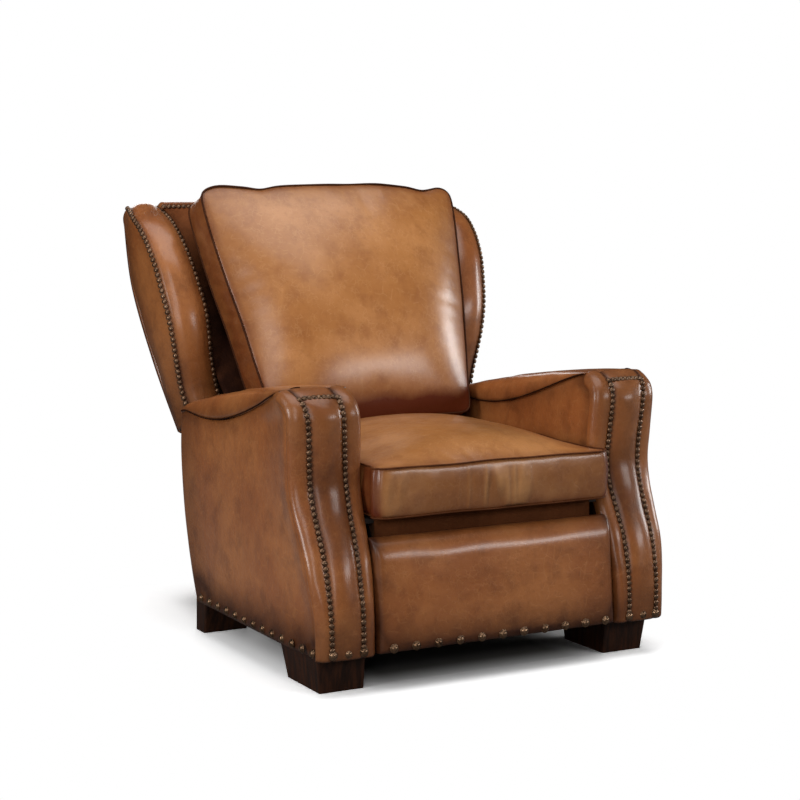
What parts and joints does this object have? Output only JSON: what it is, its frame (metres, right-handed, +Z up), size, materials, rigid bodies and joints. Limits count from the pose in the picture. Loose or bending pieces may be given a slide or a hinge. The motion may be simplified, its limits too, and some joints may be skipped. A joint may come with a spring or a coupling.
{
  "type": "wingback recliner",
  "caption": "Leather push-back wingback recliner with scrolled nailhead arms, block feet, a loose back and seat cushion and a fold-out padded footrest.",
  "frame": {"origin": "centre of the bounding box's footprint, on the floor", "axes": "+Z up; the sitter faces -Y; +X to the right as seen from the front; left and right in node names are as seen from the front"},
  "size_m": [0.8916, 1.075, 1.0063],
  "materials": {
    "tan_leather": "semi-gloss, hand-rubbed with darker edges",
    "dark_leather": "satin",
    "espresso_wood": "satin stain",
    "frame_wood": "bare",
    "black_steel": "satin black",
    "spring_steel": "drawn wire",
    "antique_brass": "antique",
    "deck_cloth": "woven, matt"
  },
  "bodies": {
    "base": {"arm_front_post_left": "frame_wood", "arm_front_post_right": "frame_wood", "arm_inside_board_left": "tan_leather", "arm_inside_board_right": "tan_leather", "arm_outside_panel_left": "tan_leather", "arm_outside_panel_right": "tan_leather", "arm_bottom_rail_left": "frame_wood", "arm_bottom_rail_right": "frame_wood", "arm_front_pad_left": "tan_leather", "arm_front_pad_right": "tan_leather", "arm_top_pad_left": "tan_leather", "arm_top_pad_right": "tan_leather", "arm_front_trim_left": "antique_brass", "arm_front_trim_right": "antique_brass", "foot_front_left": "espresso_wood", "foot_front_right": "espresso_wood", "foot_rear_left": "espresso_wood", "foot_rear_right": "espresso_wood", "front_cross_rail": "frame_wood", "rear_cross_rail": "frame_wood", "base_rear_cover": "tan_leather", "mechanism_plate_left": "black_steel", "mechanism_plate_right": "black_steel"},
    "back": {"back_post_left": "frame_wood", "back_post_right": "frame_wood", "back_top_rail": "tan_leather", "back_lower_rail": "frame_wood", "back_inside_panel": "dark_leather", "back_outside_panel": "tan_leather", "wing_body_left": "tan_leather", "wing_body_right": "tan_leather", "wing_front_pad_left": "tan_leather", "wing_front_pad_right": "tan_leather", "back_bracket_left": "black_steel", "back_bracket_right": "black_steel", "back_cushion": "tan_leather"},
    "seat": {"seat_side_rail_left": "frame_wood", "seat_side_rail_right": "frame_wood", "seat_front_rail": "dark_leather", "seat_rear_rail": "frame_wood", "seat_springs": "spring_steel", "seat_deck": "deck_cloth", "seat_cushion": "tan_leather", "seat_side_plate_left": "black_steel", "seat_side_plate_right": "black_steel"},
    "seat_front_links": {"seat_front_link_left": "black_steel", "seat_front_link_right": "black_steel"},
    "seat_rear_links": {"seat_rear_link_left": "black_steel", "seat_rear_link_right": "black_steel"},
    "seat_drive_links": {"seat_drive_link_left": "black_steel", "seat_drive_link_right": "black_steel"},
    "thigh_links": {"footrest_thigh_link_left": "black_steel", "footrest_thigh_link_right": "black_steel", "footrest_torque_tube": "black_steel"},
    "shin_links": {"footrest_shin_link_left": "black_steel", "footrest_shin_link_right": "black_steel"},
    "footrest": {"footrest_bracket_left": "black_steel", "footrest_bracket_right": "black_steel", "footrest_board": "frame_wood", "footrest_pad": "tan_leather"}
  },
  "joints": [
    {"name": "back_recline", "type": "hinge", "parent": "base", "child": "back", "pos_m": [0, 0.10193, 0.4], "axis": [-1, 0, 0], "range_deg": [0, 35]},
    {"name": "seat_slide", "type": "slide", "parent": "base", "child": "seat", "axis": [0, -1, 0], "range_m": [0, 0.0605]},
    {"name": "seat_front_link_swing", "type": "hinge", "parent": "base", "child": "seat_front_links", "pos_m": [0, -0.23806, 0.19], "axis": [1, 0, 0], "range_deg": [0, 41.6]},
    {"name": "seat_rear_link_swing", "type": "hinge", "parent": "base", "child": "seat_rear_links", "pos_m": [0, -0.01807, 0.19], "axis": [1, 0, 0], "range_deg": [0, 41.6]},
    {"name": "seat_drive_link_level", "type": "hinge", "parent": "back", "child": "seat_drive_links", "pos_m": [0, 0.13201, 0.30463], "axis": [1, 0, 0], "range_deg": [0, 35.1]},
    {"name": "footrest_extend", "type": "hinge", "parent": "seat", "child": "thigh_links", "pos_m": [0, -0.41307, 0.3], "axis": [-1, 0, 0], "range_deg": [0, 128.31]},
    {"name": "shin_unfold", "type": "hinge", "parent": "thigh_links", "child": "shin_links", "pos_m": [0, -0.29784, 0.17501], "axis": [1, 0, 0], "range_deg": [0, 111]},
    {"name": "footrest_tilt", "type": "hinge", "parent": "shin_links", "child": "footrest", "pos_m": [0, -0.46307, 0.215], "axis": [-1, 0, 0], "range_deg": [0, 72.6]}
  ],
  "couplings": [
    {"joint": "seat_slide", "follows": "back_recline", "m_per_rad": 0.098453},
    {"joint": "seat_front_link_swing", "follows": "back_recline", "ratio": 1.1838},
    {"joint": "seat_rear_link_swing", "follows": "back_recline", "ratio": 1.1838},
    {"joint": "seat_drive_link_level", "follows": "back_recline", "ratio": 1},
    {"joint": "shin_unfold", "follows": "footrest_extend", "ratio": 0.86328},
    {"joint": "footrest_tilt", "follows": "footrest_extend", "ratio": 0.5647}
  ]
}
